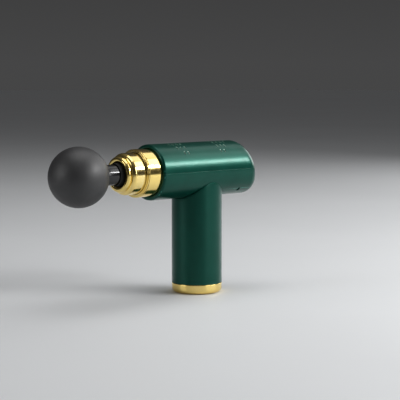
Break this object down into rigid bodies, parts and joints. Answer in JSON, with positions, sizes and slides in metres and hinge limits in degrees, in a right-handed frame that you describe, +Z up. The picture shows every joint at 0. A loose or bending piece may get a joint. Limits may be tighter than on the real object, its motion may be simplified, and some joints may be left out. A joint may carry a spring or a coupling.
{
  "type": "massage gun",
  "caption": "Compact T-shaped cordless massage gun: round barrel with vents and polished nose, ball head on a stem, cylindrical handle with a polished foot, slanted rear control panel.",
  "frame": {"origin": "centre of the foot's flat underside, below the handle's axis", "axes": "+Z up along the handle; the barrel's axis is parallel to X at 112.8 mm, with the ball head pointing to -X and the control panel to +X"},
  "size_m": [0.2166, 0.0524, 0.139],
  "materials": {
    "green_anodised": "satin",
    "polished_gold": "polished",
    "mint_chamfer": "satin",
    "pale_gold_satin": "satin",
    "gloss_black": "gloss",
    "matt_black": "matte",
    "foam_black": "matte",
    "black_rubber": "matte",
    "ground_steel": "satin",
    "machined_alloy": "satin",
    "cell_wrap": "satin",
    "circuit_board": "satin",
    "light_pipe": "gloss",
    "bearing_bronze": "satin",
    "stator_copper": "satin"
  },
  "bodies": {
    "housing": {"barrel_upper": "green_anodised", "barrel_lower": "green_anodised", "handle_tube": "green_anodised", "foot_cap": "polished_gold", "nose_cap": "polished_gold", "nose_bead": "polished_gold", "nose_sleeve": "polished_gold", "rear_bezel": "mint_chamfer", "rear_panel": "pale_gold_satin", "tact_switch": "gloss_black", "usb_tongue": "gloss_black", "battery_cradle": "matt_black", "nose_carrier": "matt_black", "button_ring": "matt_black", "guide_bush": "matt_black", "bore_gasket": "black_rubber", "motor_screw_1": "ground_steel", "motor_screw_2": "ground_steel", "motor_screw_3": "ground_steel", "nose_screw_1": "ground_steel", "nose_screw_2": "ground_steel", "nose_screw_3": "ground_steel", "board_screw_1": "ground_steel", "board_screw_2": "ground_steel", "usb_shell": "ground_steel", "motor_mount": "machined_alloy", "battery_cell_1": "cell_wrap", "battery_cell_2": "cell_wrap", "charge_board": "circuit_board", "control_board": "circuit_board", "light_pipe_1": "light_pipe", "light_pipe_2": "light_pipe", "light_pipe_3": "light_pipe", "light_pipe_4": "light_pipe", "light_pipe_5": "light_pipe", "light_pipe_6": "light_pipe", "motor_stator": "stator_copper"},
    "crank": {"rotor_can": "ground_steel", "motor_shaft": "ground_steel", "crank_disc": "ground_steel", "crank_pin": "ground_steel"},
    "block": {"slide_block": "bearing_bronze"},
    "ram": {"yoke": "machined_alloy", "plunger": "machined_alloy", "plunger_pin": "ground_steel"},
    "head": {"head_stem": "gloss_black", "head_o_ring_1": "black_rubber", "head_o_ring_2": "black_rubber", "foam_ball": "foam_black"},
    "button": {"power_button": "gloss_black"}
  },
  "joints": [
    {"name": "crank_spin", "type": "hinge", "parent": "housing", "child": "crank", "pos_m": [0, 0, 0.1128], "axis": [0, 0, 1], "range_deg": [-90, 90]},
    {"name": "block_turn", "type": "hinge", "parent": "crank", "child": "block", "pos_m": [0, -0.0035, 0.1128], "axis": [0, 0, 1], "range_deg": [-90, 90]},
    {"name": "plunger_stroke", "type": "slide", "parent": "housing", "child": "ram", "axis": [1, 0, 0], "range_m": [-0.0035, 0.0035]},
    {"name": "head_pull", "type": "slide", "parent": "ram", "child": "head", "axis": [-1, 0, 0], "range_m": [0, 0.026]},
    {"name": "button_press", "type": "slide", "parent": "housing", "child": "button", "axis": [-0.9703, 0, -0.2419], "range_m": [0, 0.0008], "stiffness_N_per_m": 1500, "springref_m": -0.0005}
  ],
  "couplings": [
    {"joint": "plunger_stroke", "follows": "crank_spin", "m_per_rad": 0.002228},
    {"joint": "block_turn", "follows": "crank_spin", "ratio": -1}
  ]
}
